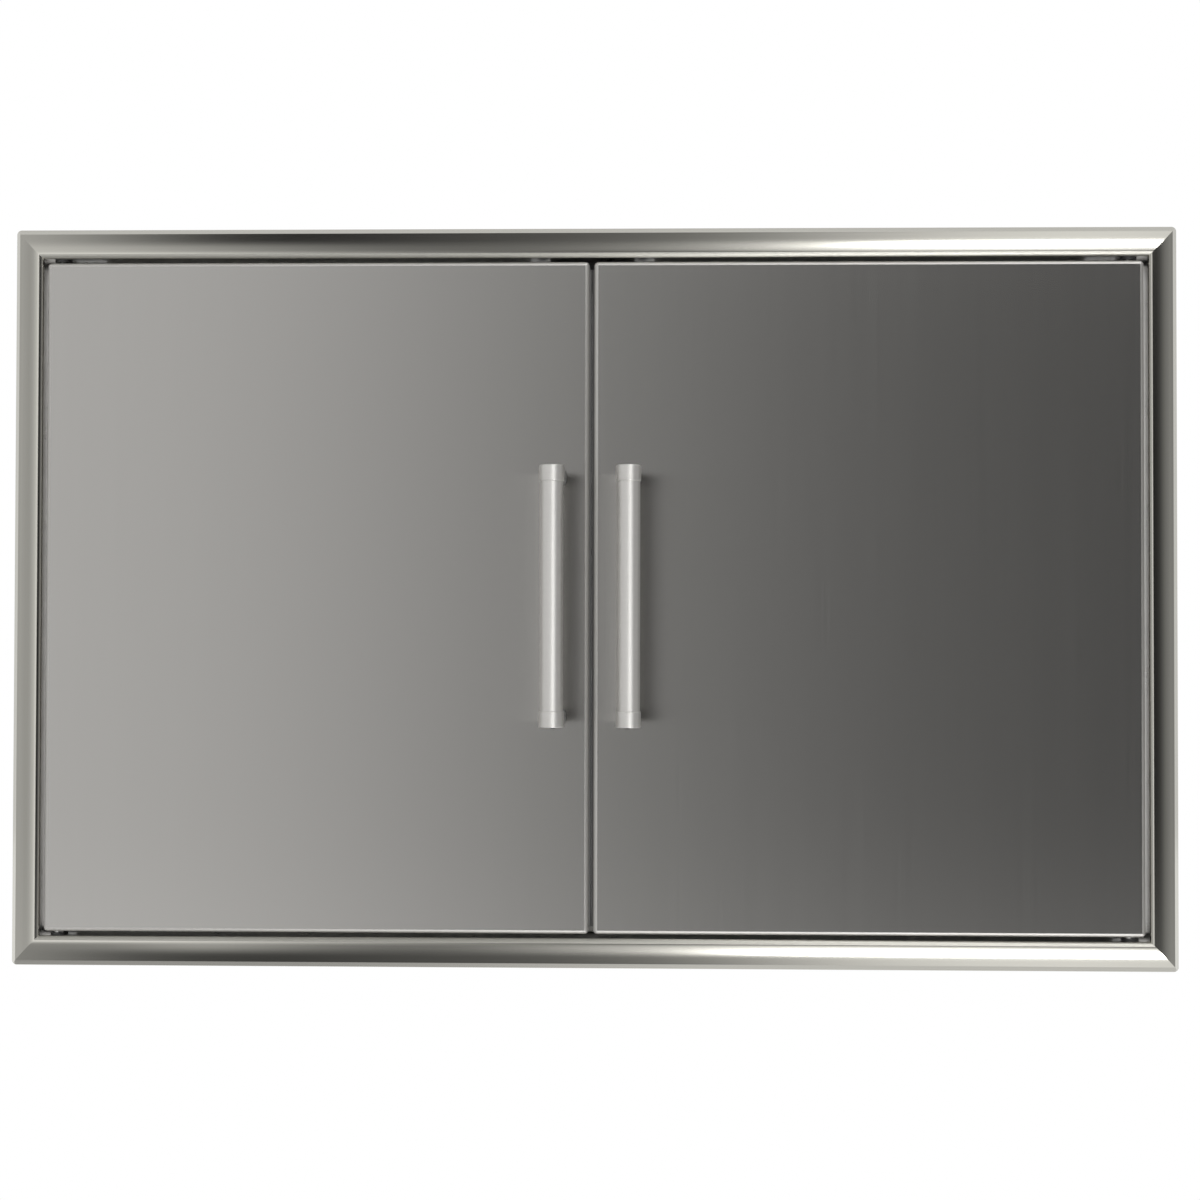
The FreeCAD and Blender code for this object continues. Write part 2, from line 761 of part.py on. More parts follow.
def all_nodes():
    """Every node's solids, by the node's name."""
    nodes = {name: [shape] for name, shape in trim_rails().items()}
    nodes.update({name: [shape] for name, shape in stops().items()})
    nodes["stop_bumpers"] = bumpers()
    for side, hand in ((1, "left"), (-1, "right")):
        nodes[f"upper_bushing_{hand}"] = [bushing(side, 1)]
        nodes[f"lower_bushing_{hand}"] = [bushing(side, -1)]
        nodes[f"{hand}_pin_spring"] = [pin_spring(side)]
    nodes["catch_housing"] = [catch_housing()]
    nodes["catch_magnets"] = catch_magnets()
    nodes["catch_pole_plates"] = catch_pole_plates()
    nodes["catch_screws"] = catch_screws()
    for name, solids in left_door().items():
        nodes[f"left_{name}"] = solids
        nodes[f"right_{name}"] = [opposite_hand(solid) for solid in solids]
    return nodes


def single_solid(shape, name):
    """The one solid in a shape, checked."""
    solids = shape.Solids
    if len(solids) != 1 or not solids[0].isValid() or solids[0].Volume <= 0:
        raise ValueError(f"{name} is {len(solids)} solids, or isn't a valid one")
    return solids[0]


def write_parts():
    """Write each node to its own STEP file."""
    os.makedirs("parts", exist_ok=True)
    for name, shapes in all_nodes().items():
        solids = [single_solid(shape, name) for shape in shapes]
        body = solids[0] if len(solids) == 1 else Part.makeCompound(solids)
        body.exportStep(f"parts/{name}.step")
        print(name, len(solids), round(sum(s.Volume for s in solids), 1))


write_parts()
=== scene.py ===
"""Double access door for an outdoor kitchen island: its finishes, its light and its camera."""
import cmath
import logging
import math
from dataclasses import dataclass, field
from enum import Enum
from functools import partialmethod
from typing import Any, Sequence

import bmesh
import bpy
from mathutils import Matrix, Vector


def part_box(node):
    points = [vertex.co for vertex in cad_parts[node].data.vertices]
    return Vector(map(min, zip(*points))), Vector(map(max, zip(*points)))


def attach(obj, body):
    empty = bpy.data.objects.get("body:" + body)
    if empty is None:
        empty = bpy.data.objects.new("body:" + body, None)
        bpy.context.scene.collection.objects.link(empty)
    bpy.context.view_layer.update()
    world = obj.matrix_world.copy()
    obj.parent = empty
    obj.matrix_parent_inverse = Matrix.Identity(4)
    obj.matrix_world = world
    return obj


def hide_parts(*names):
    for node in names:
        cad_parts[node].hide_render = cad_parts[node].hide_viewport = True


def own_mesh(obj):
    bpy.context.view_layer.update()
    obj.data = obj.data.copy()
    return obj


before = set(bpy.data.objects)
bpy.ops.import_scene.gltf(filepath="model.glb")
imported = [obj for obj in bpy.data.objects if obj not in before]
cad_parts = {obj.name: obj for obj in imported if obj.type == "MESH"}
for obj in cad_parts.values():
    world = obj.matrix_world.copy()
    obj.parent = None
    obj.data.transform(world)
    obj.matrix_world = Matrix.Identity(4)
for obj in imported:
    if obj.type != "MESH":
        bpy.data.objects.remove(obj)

log = logging.getLogger("access_door")

MM = 0.001
NEAR = 0.12 * MM  # from a flat's edge to the extra points that keep its shading flat
FLAT_NORMAL = 0.9995
ROUND_STEPS = 6
WELD, LEAST_R = 2e-6, 1e-7
SMOOTH_BELOW = math.radians(26)
PIVOT_X, PIVOT_Y = 383.8 * MM, -4 * MM
UP, DEEP = Vector((0, 0, 1)), Vector((0, 1, 0))
Point = tuple[float, float]
Colour = tuple[float, float, float]
Inputs = dict[int | str, Any]
Object, Node, Socket = bpy.types.Object, bpy.types.Node, bpy.types.NodeSocket


def arc(x: float, y: float, radius: float, start: float, end: float, steps: int = ROUND_STEPS) -> list[Point]:
    """Points along an arc about (x, y), from one angle to another in degrees."""
    angles = [math.radians(start + (end - start) * k / steps) for k in range(steps + 1)]
    return [(x + radius * math.cos(a), y + radius * math.sin(a)) for a in angles]


def circle(centre: Vector, axis: Vector, radius: float, sides: int, first: float = 0.0) -> list[Vector]:
    """Points round a circle about an axis, the first of them a share of a step on."""
    start, step = axis.orthogonal().normalized() * radius, math.tau / sides
    return [centre + Matrix.Rotation(step * (i + first), 3, axis) @ start for i in range(sides)]


def linked(name: str, data: bpy.types.ID) -> Object:
    """A new object in the scene, on a mesh or camera."""
    made = bpy.data.objects.new(name, data)
    bpy.context.scene.collection.objects.link(made)
    return made


class Hand(Enum):
    """Which of the two doors a piece belongs to."""

    LEFT = ("left", 1)
    RIGHT = ("right", -1)

    @property
    def word(self) -> str:
        """The hand as the nodes' names spell it."""
        return self.value[0]

    @property
    def side(self) -> int:
        """The factor that turns a left door's x into this door's."""
        return self.value[1]

    @property
    def body(self) -> str:
        """The moving body that this door's pieces ride on."""
        return f"{self.word}_door"


class Grain(Enum):
    """The direction in which a finish is brushed."""

    ALONG_X = (0.0, 1.0, 1.0)
    ALONG_Z = (1.0, 1.0, 0.0)
    ROUND_Z = (0.25, 0.25, 1.0)


# Node trees

class Value:
    """A number that comes out of a node, with the arithmetic that the finishes and the light use."""

    def __init__(self, nodes: "Nodes", socket: Socket) -> None:
        """Wrap one output socket."""
        self.nodes = nodes
        self.socket = socket

    def _math(self, operation: str, other: Any = 0.0, turned: bool = False) -> "Value":
        """One Math node on this value and another, the other first where they are turned."""
        pair = (other, self) if turned else (self, other)
        return self.nodes.value("ShaderNodeMath", 0, dict(enumerate(pair)), operation=operation)

    __add__ = __radd__ = partialmethod(_math, "ADD")
    __sub__ = partialmethod(_math, "SUBTRACT")
    __rsub__ = partialmethod(_math, "SUBTRACT", turned=True)
    __mul__ = __rmul__ = partialmethod(_math, "MULTIPLY")
    __truediv__ = partialmethod(_math, "DIVIDE")
    __neg__ = partialmethod(_math, "MULTIPLY", -1.0)
    size = partialmethod(_math, "ABSOLUTE")
    root = partialmethod(_math, "SQRT")

    def rise(self, low: float, high: float) -> "Value":
        """A smooth step of this value, from 0 at the low end to 1 at the high end."""
        return self.nodes.value("ShaderNodeMapRange", 0, {"Value": self, "From Min": low, "From Max": high},
                                interpolation_type="SMOOTHSTEP")


class Nodes:
    """One node tree, and the ways in which its nodes are made."""

    def __init__(self, tree: bpy.types.NodeTree) -> None:
        """Hold an emptied tree."""
        self.tree = tree
        tree.nodes.clear()

    def make(self, kind: str, inputs: Inputs | None = None, **settings: Any) -> Node:
        """Make a node.

        Args:
            kind: The node's type.
            inputs: What its sockets hold, by name or number: a value, a socket, a node for its first
                output, or a plain number.
            settings: Its own settings, set first. The one called stops holds a ramp's places and greys.

        Returns:
            The node.
        """
        node = self.tree.nodes.new(kind)
        for name, value in settings.items():
            if name == "stops":
                self._set_stops(node.color_ramp, value)
            else:
                setattr(node, name, value)
        for key, value in (inputs or {}).items():
            source = value.outputs[0] if isinstance(value, Node) else getattr(value, "socket", value)
            if isinstance(source, Socket):
                self.tree.links.new(source, node.inputs[key])
            else:
                node.inputs[key].default_value = source
        return node

    def value(self, kind: str, output: int | str, inputs: Inputs | None = None, **settings: Any) -> Value:
        """Make a node as make does, and wrap one of its outputs."""
        return Value(self, self.make(kind, inputs, **settings).outputs[output])

    @staticmethod
    def _set_stops(ramp: bpy.types.ColorRamp, stops: Sequence[Point]) -> None:
        """Give a ramp its stops.

        Args:
            ramp: The ramp, with the stops that it is made with.
            stops: Each stop's place and grey.
        """
        ramp.interpolation = "CARDINAL"
        while len(ramp.elements) > 1:
            ramp.elements.remove(ramp.elements[-1])
        for i, (place, grey) in enumerate(stops):
            stop = ramp.elements.new(place) if i else ramp.elements[0]
            stop.position = place
            stop.color = (grey, grey, grey, 1.0)

    def noise(self, scale: Sequence[float], detail: float = 2.0, sharpness: float = 0.5) -> Value:
        """A noise pattern in object coordinates.

        Args:
            scale: How often it repeats in a metre, along x, y and z.
            detail: How many finer layers it has.
            sharpness: How strong the finer layers are.

        Returns:
            The pattern, about 0.5 on average.
        """
        spot = self.value("ShaderNodeTexCoord", "Object")
        place = self.value("ShaderNodeMapping", 0, {"Vector": spot, "Scale": scale})
        return self.value("ShaderNodeTexNoise", 0,
                          {"Vector": place, "Scale": 1.0, "Detail": detail, "Roughness": sharpness})

    def either(self, leave: str, share: Value, first: Node, second: Node) -> None:
        """End the tree, in an output of a kind, with a mix in which the second shader has a share."""
        both = self.make("ShaderNodeMixShader", {0: share, 1: first, 2: second})
        self.make(leave, {"Surface": both})


# Finishes

@dataclass(frozen=True)
class Finish:
    """What every finish has: a name, a colour, a roughness, a change of shade and a relief in metres."""

    name: str
    colour: Colour
    roughness: float
    contrast: float = 0.0
    relief: float = 0.0

    def material(self) -> bpy.types.Material:
        """The finish as a material, made once."""
        made = bpy.data.materials.get(self.name)
        if made is None:
            made = bpy.data.materials.new(self.name)
            made.use_nodes = True
            self.paint(Nodes(made.node_tree))
        return made

    def paint(self, nodes: Nodes) -> None:
        """Fill the material's tree; each kind of finish has its own way."""
        raise NotImplementedError

    def close(self, nodes: Nodes, tone: Value, roughness: Value, height: Value, fixed: Inputs) -> None:
        """Finish the tree with its shader and output.

        Args:
            nodes: The material's tree.
            tone: 0 for the colour's darker shade and 1 for its lighter one.
            roughness: The roughness.
            height: The relief from 0 to 1.
            fixed: The shader's own numbers.
        """
        dark, light = (tuple(min(1.0, c * (1 + part)) for c in self.colour) + (1.0,)
                       for part in (-self.contrast, self.contrast))
        shade = nodes.make("ShaderNodeMix", {0: tone, 6: dark, 7: light}, data_type="RGBA")
        bump = nodes.make("ShaderNodeBump", {"Strength": 1.0, "Distance": self.relief, "Height": height})
        shader = nodes.make("ShaderNodeBsdfPrincipled", {
            "Base Color": shade.outputs[2], "Roughness": roughness, "Normal": bump, **fixed})
        nodes.make("ShaderNodeOutputMaterial", {"Surface": shader})


@dataclass(frozen=True)
class BrushedSteel(Finish):
    """Stainless steel sheet brushed one way; scratches and bands are counts in a metre, across and along."""

    contrast: float = 0.02
    relief: float = 0.2e-6
    grain: Grain = Grain.ALONG_Z
    anisotropy: float = 0.6
    turn: float = 0.0
    scatter: float = 0.10
    scratches: Point = (3800.0, 14.0)
    bands: Point = (420.0, 3.0)
    cloud: float = 5.0

    def stretched(self, across: float, along: float) -> list[float]:
        """A pattern's counts across and along the grain, as counts along x, y and z."""
        return [across * a + along * (1 - a) for a in self.grain.value]

    def paint(self, nodes: Nodes) -> None:
        """Fine scratches over broader bands and a faint cloud."""
        fine = nodes.noise(self.stretched(*self.scratches), 3.0, 0.6)
        band = nodes.noise(self.stretched(*self.bands))
        mix = fine * 0.5 + band * 0.35 + nodes.noise((self.cloud,) * 3, 1.0) * 0.15
        roughness = self.roughness + (fine - 0.5) * self.scatter + (band - 0.5) * (self.scatter / 2)
        self.close(nodes, mix.rise(0.3, 0.7), roughness, fine,
                   {"Metallic": 1.0, "Anisotropic": self.anisotropy, "Anisotropic Rotation": self.turn})


@dataclass(frozen=True)
class MillSteel(Finish):
    """Rolled, plated or turned metal with a mottled surface."""

    contrast: float = 0.08
    relief: float = 4e-6
    mottle: float = 90.0
    pits: float = 1600.0

    def paint(self, nodes: Nodes) -> None:
        """A mottled tone with fine pits."""
        patch = nodes.noise((self.mottle,) * 3, 3.0)
        pits = nodes.noise((self.pits,) * 3, 2.0, 0.6)
        roughness = self.roughness + (patch - 0.5) * 0.14 + (pits - 0.5) * 0.06
        self.close(nodes, patch.rise(0.3, 0.7), roughness, pits, {"Metallic": 1.0})


@dataclass(frozen=True)
class Moulded(Finish):
    """Moulded or extruded plastic and rubber, and pressed ferrite."""

    contrast: float = 0.12
    relief: float = 12e-6
    patches: float = 60.0
    grit: float = 2200.0

    def paint(self, nodes: Nodes) -> None:
        """A fine mould texture under a faint change of shade."""
        patch = nodes.noise((self.patches,) * 3)
        grit = nodes.noise((self.grit,) * 3, 2.0, 0.6)
        roughness = self.roughness + (grit - 0.5) * 0.12
        self.close(nodes, patch * 0.6 + grit * 0.4, roughness, grit, {"Metallic": 0.0})


STEEL: Colour = (0.62, 0.61, 0.59)
TRIM_TONE: Colour = (0.63, 0.62, 0.57)
DOOR_FACE = BrushedSteel(
    "door_brushed_steel", STEEL, 0.255, contrast=0.012, relief=0.15e-6, anisotropy=0.95, scatter=0.035)
DOOR_EDGE = BrushedSteel("door_edge_satin_steel", (0.60, 0.59, 0.57), 0.5, anisotropy=0.3)
TRIM_LEVEL = BrushedSteel(
    "trim_steel_brushed_along_rails", TRIM_TONE, 0.17,
    grain=Grain.ALONG_X, anisotropy=0.4, turn=0.25, scatter=0.04)
TRIM_UPRIGHT = BrushedSteel(
    "trim_steel_brushed_along_stiles", TRIM_TONE, 0.17, anisotropy=0.4, scatter=0.04)
LIP_LEVEL = BrushedSteel(
    "lip_steel_brushed_along_rails", TRIM_TONE, 0.48, grain=Grain.ALONG_X, anisotropy=0.8, turn=0.25)
JAMB_STEEL = MillSteel("jamb_mill_steel", STEEL, 0.3, mottle=60.0)
# Painted light: the bar and ferrules are the doors' steel made lighter, so that they read brighter than the
# light alone makes them.
HANDLE_STEEL = BrushedSteel(
    "handle_bar_turned_steel_painted_light", (0.82, 0.81, 0.79), 0.56,
    relief=0.3e-6, grain=Grain.ROUND_Z, turn=0.25, scatter=0.04)
# Painted shade: the posts' necks and feet are the handle's steel darkened, so that they show the dark shade
# that falls beside each post.
POST_STEEL = BrushedSteel(
    "handle_post_steel_painted_shade", (0.34, 0.335, 0.33), 0.2,
    relief=0.3e-6, grain=Grain.ROUND_Z, anisotropy=0.0, scatter=0.04)
INNER_STEEL = BrushedSteel(
    "inner_mill_steel", (0.55, 0.545, 0.53), 0.38, contrast=0.06, relief=0.6e-6, anisotropy=0.3)
PIN_STEEL = MillSteel("turned_pin_steel", (0.58, 0.575, 0.56), 0.25)
SPRING_STEEL = MillSteel("drawn_spring_steel", (0.42, 0.42, 0.43), 0.3)
HINGE_STEEL = MillSteel("hinge_dark_plated_steel", (0.13, 0.13, 0.135), 0.45, mottle=120.0)
PLATED_STEEL = MillSteel("zinc_plated_steel", (0.60, 0.62, 0.65), 0.32, mottle=140.0)
FERRITE = Moulded("pressed_ferrite", (0.05, 0.05, 0.055), 0.6, grit=900.0)
ACETAL = Moulded("black_acetal", (0.035, 0.035, 0.036), 0.4)
CATCH_PLASTIC = Moulded("black_catch_plastic", (0.03, 0.03, 0.032), 0.42)
RUBBER = Moulded("black_bumper_rubber", (0.025, 0.025, 0.025), 0.7)
SEAL_RUBBER = Moulded("grey_seal_rubber", (0.12, 0.12, 0.12), 0.4, grit=1200.0)


# Pieces

class Piece:
    """One finished mesh of the scene."""

    def __init__(self, name: str) -> None:
        """Start an empty mesh under a name."""
        self.name = name
        self.work = bmesh.new()

    def loft(self, rings: Sequence[Sequence[Vector]], caps: bool = True) -> "Piece":
        """Skin a row of closed rings that have the same number of points.

        Args:
            rings: The rings in order.
            caps: Whether the first and last ring are closed; otherwise the last joins the first.

        Returns:
            The piece itself.
        """
        rows = [[self.work.verts.new(p) for p in ring] for ring in rings]
        pairs = list(zip(rows, rows[1:])) + ([] if caps else [(rows[-1], rows[0])])
        for low, high in pairs:
            for i in range(len(low)):
                j = (i + 1) % len(low)
                self.work.faces.new((low[i], low[j], high[j], high[i]))
        if caps:
            self.work.faces.new(rows[0])
            self.work.faces.new(rows[-1])
        return self

    def turned(self, profile: Sequence[Point], centre: Vector, axis: Vector, sides: int,
               caps: bool = True) -> "Piece":
        """Turn a profile, as (radius, place along the axis from the centre), and skin it as loft does."""
        return self.loft([circle(centre + axis * place, axis, max(radius, LEAST_R), sides)
                          for radius, place in profile], caps)

    def object(self, *finishes: Finish) -> Object:
        """Close the mesh and put it in the scene.

        Args:
            finishes: The finish of all its faces, and any that some faces get later.

        Returns:
            The object, at the origin.
        """
        bmesh.ops.remove_doubles(self.work, verts=self.work.verts, dist=WELD)
        bmesh.ops.dissolve_degenerate(self.work, edges=self.work.edges, dist=LEAST_R)
        bmesh.ops.recalc_face_normals(self.work, faces=self.work.faces)
        for face in self.work.faces:
            face.smooth = True
        mesh = bpy.data.meshes.new(self.name)
        self.work.to_mesh(mesh)
        self.work.free()
        mesh.set_sharp_from_angle(angle=SMOOTH_BELOW)
        for finish in finishes:
            mesh.materials.append(finish.material())
        return linked(self.name, mesh)


@dataclass(frozen=True)
class Hole:
    """A round hole through sheet, or a slot where it is stretched."""

    start: Vector
    way: Vector
    diameter: float
    depth: float
    stretch: Vector = field(default_factory=Vector)
    sides: int = 48

    def ring(self, along: float) -> list[Vector]:
        """The hole's outline at a place along its way."""
        centre = self.start + self.way * along
        points = circle(centre, self.way, self.diameter / 2, self.sides, 0.5)
        return [p + self.stretch if (p - centre).dot(self.stretch) > 0 else p for p in points]


class Workshop:
    """What is done to an object after its mesh is made."""

    @staticmethod
    def baked(source: Object, name: str) -> Object:
        """Turn an object and its modifiers into a plain mesh of its own.

        Args:
            source: The object, which is removed.
            name: The new object's name.

        Returns:
            The plain object.
        """
        bpy.context.view_layer.update()
        seen = source.evaluated_get(bpy.context.evaluated_depsgraph_get())
        mesh = bpy.data.meshes.new_from_object(seen)
        bpy.data.objects.remove(source)
        mesh.name = name
        return linked(name, mesh)

    @staticmethod
    def bored(piece: Object, holes: Sequence[Hole]) -> Object:
        """Cut holes and slots.

        Args:
            piece: The object to cut.
            holes: The holes.

        Returns:
            The cut object.
        """
        cutter = Piece("cutter")
        for hole in holes:
            cutter.loft([hole.ring(-MM), hole.ring(hole.depth + MM)])
        tool, name = cutter.object(), piece.name
        cut = piece.modifiers.new("holes", "BOOLEAN")
        cut.operation, cut.solver, cut.object = "DIFFERENCE", "EXACT", tool
        piece.name = name + "_uncut"
        made = Workshop.baked(piece, name)
        bpy.data.objects.remove(tool)
        made.data.set_sharp_from_angle(angle=SMOOTH_BELOW)
        return made

    @staticmethod
    def ride(piece: Object, body: str, slot: str, *nodes: str) -> None:
        """Put a piece on its body.

        Args:
            piece: The finished piece.
            body: The body that it moves with.
            slot: The record's finish; not used.
            nodes: The solids that it stands for.
        """
        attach(piece, body)
        if nodes:
            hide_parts(*nodes)
        log.info("%s on %s: %d faces", piece.name, body, len(piece.data.polygons))

    @staticmethod
    def dress(finish: Finish, *nodes: str) -> None:
        """Give solids that keep their shape a finish.

        Args:
            finish: The finish.
            nodes: The solids' names.
        """
        for name in nodes:
            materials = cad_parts[name].data.materials
            materials.clear()
            materials.append(finish.material())
            log.info("%s keeps its solid, in %s", name, finish.name)


# Repeated pieces and coils

class Trees:
    """The geometry trees."""

    TURN_STEPS = 36
    WIRE_SIDES = 14

    @staticmethod
    def _start(name: str, sockets: dict[str, str]) -> tuple[Nodes, Any]:
        """A new tree with its sockets.

        Args:
            name: The tree's name.
            sockets: Its inputs between the geometry and the material, each with its kind.

        Returns:
            The tree's nodes, and what its group input gives.
        """
        tree = bpy.data.node_groups.new(name, "GeometryNodeTree")
        for label, kind in {"Geometry": "Geometry", **sockets, "Material": "Material"}.items():
            tree.interface.new_socket(label, in_out="INPUT", socket_type=f"NodeSocket{kind}")
        tree.interface.new_socket("Geometry", in_out="OUTPUT", socket_type="NodeSocketGeometry")
        nodes = Nodes(tree)
        return nodes, nodes.make("NodeGroupInput").outputs

    @staticmethod
    def _end(nodes: Nodes, get: Any, shape: Node) -> bpy.types.NodeTree:
        """Realize the instances, set the material and reach the output.

        Args:
            nodes: The tree's nodes.
            get: What its group input gives.
            shape: The node whose geometry goes out.

        Returns:
            The finished tree.
        """
        real = nodes.make("GeometryNodeRealizeInstances", {"Geometry": shape})
        done = nodes.make("GeometryNodeSetMaterial", {"Geometry": real, "Material": get["Material"]})
        nodes.make("NodeGroupOutput", {0: done})
        return nodes.tree

    @classmethod
    def grid(cls) -> bpy.types.NodeTree:
        """The tree that repeats a piece in columns and rows about a middle."""
        nodes, get = cls._start("repeat_in_grid", {
            "Columns": "Int", "Column Step": "Float", "Rows": "Int", "Row Step": "Float"})
        width, height = (Value(nodes, get[f"{line} Step"]) * (Value(nodes, get[f"{line}s"]) - 1.0)
                         for line in ("Column", "Row"))
        flat = nodes.make("GeometryNodeMeshGrid", {
            "Size X": width, "Size Y": height, "Vertices X": get["Columns"], "Vertices Y": get["Rows"]})
        upright = nodes.make("GeometryNodeTransform", {"Geometry": flat, "Rotation": (math.pi / 2, 0.0, 0.0)})
        spots = nodes.make("GeometryNodeInstanceOnPoints", {"Points": upright, "Instance": get["Geometry"]})
        return cls._end(nodes, get, spots)

    @classmethod
    def coil(cls) -> bpy.types.NodeTree:
        """The tree that winds a round wire into an upright coil."""
        nodes, get = cls._start("wind_coil", {
            "Turns": "Float", "Coil Radius": "Float", "Wire Radius": "Float", "Height": "Float",
            "Foot": "Vector"})
        radius = get["Coil Radius"]
        path = nodes.make("GeometryNodeCurveSpiral", {
            "Resolution": cls.TURN_STEPS, "Rotations": get["Turns"], "Start Radius": radius,
            "End Radius": radius, "Height": get["Height"]})
        wire = nodes.make("GeometryNodeCurvePrimitiveCircle",
                          {"Resolution": cls.WIRE_SIDES, "Radius": get["Wire Radius"]})
        tube = nodes.make("GeometryNodeCurveToMesh",
                          {"Curve": path, "Profile Curve": wire, "Fill Caps": True})
        smooth = nodes.make("GeometryNodeSetShadeSmooth", {"Geometry": tube})
        placed = nodes.make("GeometryNodeTransform", {"Geometry": smooth, "Translation": get["Foot"]})
        return cls._end(nodes, get, placed)

    @staticmethod
    def grown(piece: Object, tree: bpy.types.NodeTree, values: dict[str, Any],
              centre: Vector = Vector()) -> Object:
        """Run a tree on a piece and keep the result as a plain mesh.

        Args:
            piece: The object that the tree starts from, which is used up.
            tree: The geometry tree.
            values: What its named inputs hold.
            centre: Where the result's middle goes.

        Returns:
            The plain object, under the piece's name.
        """
        step = piece.modifiers.new("grown", "NODES")
        step.node_group = tree
        for item in tree.interface.items_tree:
            if item.in_out == "INPUT" and item.name in values:
                step[item.identifier] = values[item.name]
        name = piece.name
        piece.name = name + "_single"
        made = Workshop.baked(piece, name)
        made.data.transform(Matrix.Translation(centre))
        return made


# Folded sheet

@dataclass
class FoldedSheet:
    """The section of a folded sheet: a path of walls with a bend at each corner, thickened to its left.

    The working is in complex numbers, whose parts are a point's two places.
    """

    points: list[Point]
    radii: list[float]
    thickness: float
    step: float = math.radians(5)

    @staticmethod
    def _walls(path: Sequence[complex]) -> tuple[list[complex], list[float]]:
        """The unit direction of each wall, and the turn at each corner, positive to the left."""
        ways = [(b - a) / abs(b - a) for a, b in zip(path, path[1:])]
        return ways, [cmath.phase(after * before.conjugate()) for before, after in zip(ways, ways[1:])]

    @classmethod
    def _fitted(cls, path: Sequence[complex], radii: Sequence[float]) -> list[float]:
        """The bend radii, no larger than their walls have room for."""
        reach = [0.0, *(r * math.tan(abs(bend) / 2) for r, bend in zip(radii, cls._walls(path)[1])), 0.0]
        room = [abs(b - a) / max(r + s, LEAST_R) for a, b, r, s in zip(path, path[1:], reach, reach[1:])]
        return [radius * min(1.0, before, after) for radius, before, after in zip(radii, room, room[1:])]

    def _inside(self, path: Sequence[complex], radii: Sequence[float]) -> tuple[list[complex], list[float]]:
        """The other side of the sheet.

        Args:
            path: This side's corners.
            radii: Its bend radii.

        Returns:
            The other side's corners, and its bend radii.
        """
        (ways, bends), left = self._walls(path), self.thickness * 1j
        corners = [corner + way * (left - self.thickness * math.tan(bend / 2))
                   for corner, way, bend in zip(path[1:], ways, bends)]
        inner = [max(r - math.copysign(self.thickness, bend), 0.0) for r, bend in zip(radii, bends)]
        return [path[0] + ways[0] * left, *corners, path[-1] + ways[-1] * left], inner

    def _drawn(self, path: Sequence[complex], radii: Sequence[float]) -> list[complex]:
        """One side of the sheet, with a close pair of points where a wall meets a bend.

        Args:
            path: The side's corners.
            radii: Its bend radii.

        Returns:
            Points along its walls and bends.
        """
        ways, bends = self._walls(path)
        line = [path[0]]
        for corner, way, bend, radius in zip(path[1:], ways, bends, radii):
            start = corner - way * radius * math.tan(abs(bend) / 2)
            if abs(start - line[-1]) > 3 * NEAR:
                line += [line[-1] + way * NEAR, start - way * NEAR]
            arm = way * 1j * math.copysign(radius, bend)
            steps = max(1, math.ceil(abs(bend) / self.step)) if radius > 0 else 0
            for k in range(steps + 1):
                line.append(start + arm - arm * cmath.rect(1.0, bend * k / max(steps, 1)))
        return line + [line[-1] + ways[-1] * NEAR, path[-1]]

    def outline(self) -> list[Point]:
        """The closed outline of the section."""
        path = [complex(*point) for point in self.points]
        radii = self._fitted(path, self.radii)
        inside, inner = self._inside(path, radii)
        line = self._drawn(path, radii) + self._drawn(inside, self._fitted(inside, inner))[::-1]
        return [(point.real, point.imag) for point in line]


